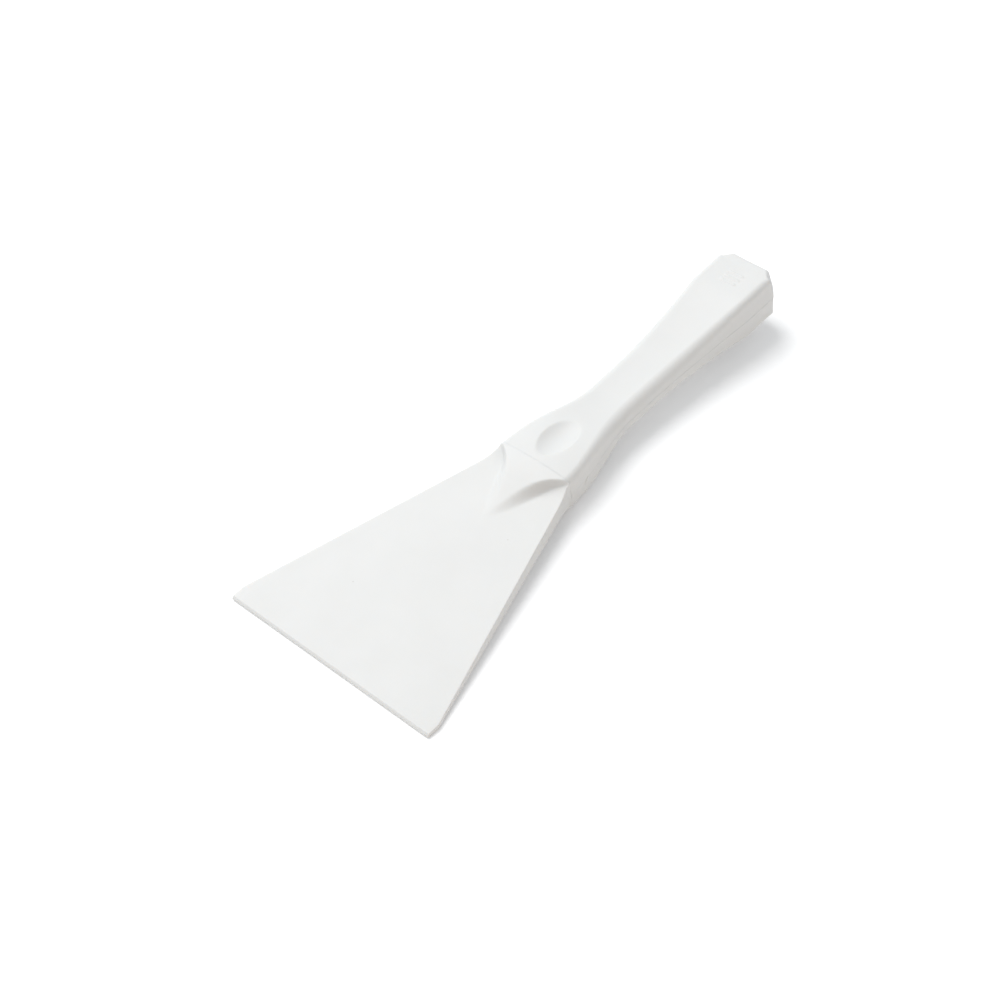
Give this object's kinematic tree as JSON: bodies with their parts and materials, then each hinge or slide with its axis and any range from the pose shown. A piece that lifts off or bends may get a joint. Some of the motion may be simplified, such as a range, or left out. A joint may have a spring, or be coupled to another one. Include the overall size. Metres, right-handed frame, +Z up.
{
  "type": "hand scraper",
  "caption": "White moulded plastic hand scraper: a flat fan-shaped blade with a straight bevelled edge, a domed neck and a waisted hollow handle, for scraping dough and benches.",
  "frame": {"origin": "centre of the part's footprint on the surface it lies on", "axes": "+Y from the cutting edge towards the butt of the handle, +X across the blade, +Z up out of the upper face as the scraper lies at rest on its edge bevel and bolster"},
  "size_m": [0.102, 0.2406, 0.0273],
  "materials": {
    "blade_plastic": "satin white",
    "handle_plastic": "satin white",
    "dowel_plastic": "plain natural white"
  },
  "bodies": {
    "root": {"blade": "blade_plastic", "handle_upper_shell": "handle_plastic", "handle_lower_shell": "handle_plastic", "front_dowel": "dowel_plastic", "rear_dowel": "dowel_plastic"}
  },
  "joints": []
}
